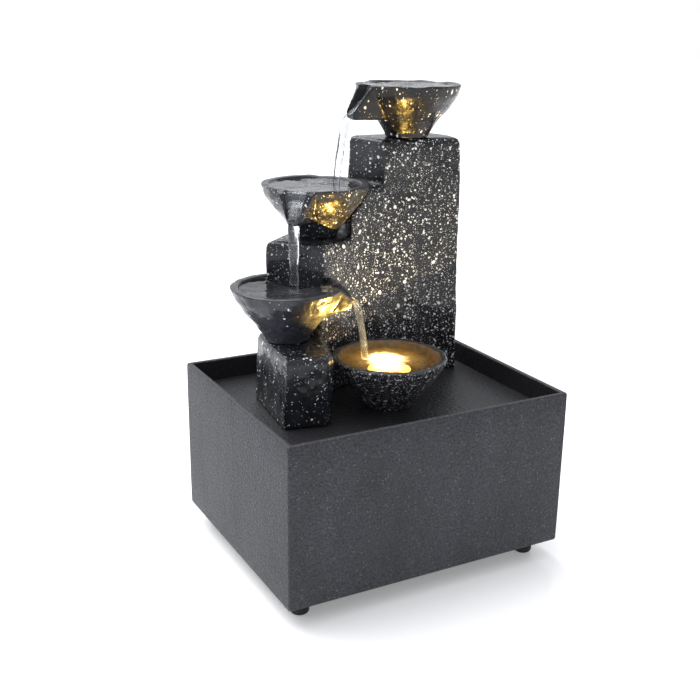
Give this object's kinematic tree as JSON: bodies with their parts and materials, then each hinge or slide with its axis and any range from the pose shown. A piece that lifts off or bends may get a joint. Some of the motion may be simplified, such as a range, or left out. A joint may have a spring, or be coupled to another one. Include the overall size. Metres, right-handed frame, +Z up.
{
  "type": "tabletop water fountain",
  "caption": "Tabletop water fountain: stone-look bowls step down a hollow tower into a lit bowl on the deck of a rectangular tank that hides the pump.",
  "frame": {"origin": "on the table, under the middle of the tank", "axes": "+Z up, -Y the front, where the lamp bowl is, +X to the tall column"},
  "size_m": [0.2, 0.166, 0.3058],
  "materials": {
    "tank_finish": "dark grey moulded polyresin with a fine pebble grain and pale specks",
    "deck_finish": "near-black, satin, with a leathery grain",
    "stone": "black lacquered polyresin with hewn ripples and white and grey paint specks",
    "rubber": "black, matt",
    "cover_plastic": "black, fine spark texture",
    "pump_plastic": "black, satin",
    "tube_vinyl": "clear soft vinyl, slightly milky",
    "steel": "bright steel",
    "copper": "enamelled copper winding",
    "sponge": "open-cell foam, dark grey",
    "ceramic": "ground white ceramic",
    "magnet": "moulded ferrite, dark",
    "board": "green solder mask",
    "lens": "clear dome over warm white LEDs, lit",
    "cable": "black flexible jacket"
  },
  "bodies": {
    "tank": {"tank": "tank_finish", "foot_front_left": "rubber", "foot_front_right": "rubber", "foot_back_left": "rubber", "foot_back_right": "rubber"},
    "deck_and_tower": {"deck_tray": "deck_finish", "tower": "stone", "rear_cover": "cover_plastic", "power_inlet": "pump_plastic", "inlet_nut": "steel", "inlet_washer": "rubber", "top_bowl": "stone", "second_bowl": "stone", "third_bowl": "stone", "lamp_bowl": "stone", "led_base": "pump_plastic", "led_board": "board", "lens_seal": "rubber", "led_lens": "lens", "lamp_grommet": "rubber", "outlet_nozzle": "pump_plastic", "riser_tube": "tube_vinyl", "pump_housing": "pump_plastic", "stator_core": "steel", "stator_coil": "copper", "pump_rear_cap": "pump_plastic", "impeller_shaft": "ceramic", "shaft_bush_rear": "rubber", "pump_strain_relief": "rubber", "pump_lead": "cable", "led_lead": "cable", "lead_clip_1": "cover_plastic", "lead_clip_2": "cover_plastic", "tower_screw_1": "steel", "cover_screw_1": "steel", "suction_cup_1": "rubber", "tower_screw_2": "steel", "cover_screw_2": "steel", "suction_cup_2": "rubber", "tower_screw_3": "steel", "cover_screw_3": "steel", "suction_cup_3": "rubber", "tower_screw_4": "steel", "cover_screw_4": "steel", "suction_cup_4": "rubber"},
    "impeller": {"impeller": "magnet"},
    "pump_cover": {"pump_cover": "pump_plastic", "shaft_bush_front": "rubber", "intake_sponge": "sponge"},
    "flow_regulator": {"flow_regulator": "cover_plastic"}
  },
  "joints": [
    {"name": "deck_lift_off", "type": "slide", "parent": "tank", "child": "deck_and_tower", "axis": [0, 0, 1], "range_m": [0, 0.12]},
    {"name": "impeller_spin", "type": "hinge", "parent": "deck_and_tower", "child": "impeller", "pos_m": [0.06, 0.046, 0.0375], "axis": [1, 0, 0], "continuous": true},
    {"name": "pump_cover_pull", "type": "slide", "parent": "deck_and_tower", "child": "pump_cover", "axis": [-1, 0, 0], "range_m": [0, 0.045]},
    {"name": "flow_regulator_turn", "type": "hinge", "parent": "pump_cover", "child": "flow_regulator", "pos_m": [0.034, 0.046, 0.0375], "axis": [1, 0, 0], "range_deg": [-60, 60]}
  ]
}
